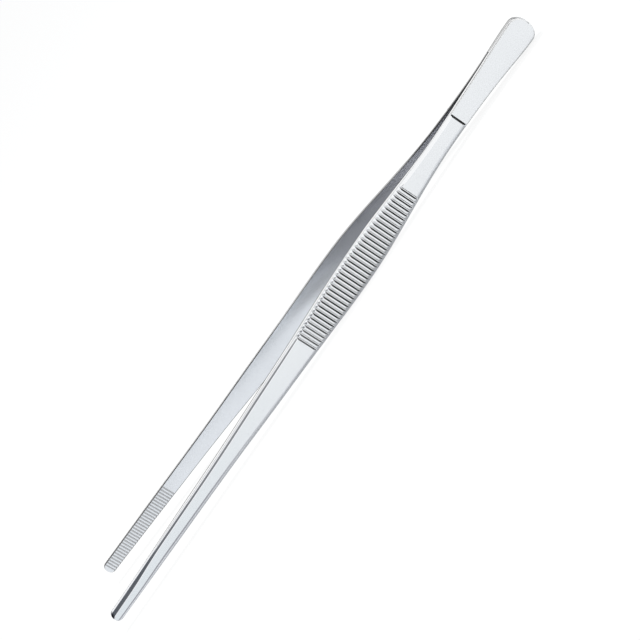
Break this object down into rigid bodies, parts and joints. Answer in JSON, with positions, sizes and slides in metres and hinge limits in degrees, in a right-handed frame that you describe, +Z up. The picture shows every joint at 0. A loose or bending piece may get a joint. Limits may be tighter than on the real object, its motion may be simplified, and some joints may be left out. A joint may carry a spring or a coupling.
{
  "type": "cooking tweezers",
  "caption": "Long straight kitchen tweezers: bowed spring-steel arms welded at a rounded butt, with a ribbed finger grip, ground bevels and serrated jaws.",
  "frame": {"origin": "middle of the bounding box in plan, on the plane that the arms' side edges rest on", "axes": "+X from the welded butt to the tips, +Y the way the front arm opens, +Z up from the side that it lies on"},
  "size_m": [0.3, 0.048, 0.0144],
  "materials": {
    "satin_steel": "satin, fine brushing along the arms",
    "weld_steel": "ground flush"
  },
  "bodies": {
    "tail": {"front_palm": "satin_steel", "rear_palm": "satin_steel", "weld_seam": "weld_steel"},
    "front_jaw": {"front_arm": "satin_steel"},
    "rear_jaw": {"rear_arm": "satin_steel"}
  },
  "joints": [
    {"name": "front_flex", "type": "hinge", "parent": "tail", "child": "front_jaw", "pos_m": [-0.10202, 0.00257, 0.0072], "axis": [0, 0, -1], "range_deg": [0, 4.95], "stiffness_Nm_per_rad": 4},
    {"name": "rear_flex", "type": "hinge", "parent": "tail", "child": "rear_jaw", "pos_m": [-0.10202, -0.00257, 0.0072], "axis": [0, 0, 1], "range_deg": [0, 4.95], "stiffness_Nm_per_rad": 4}
  ]
}
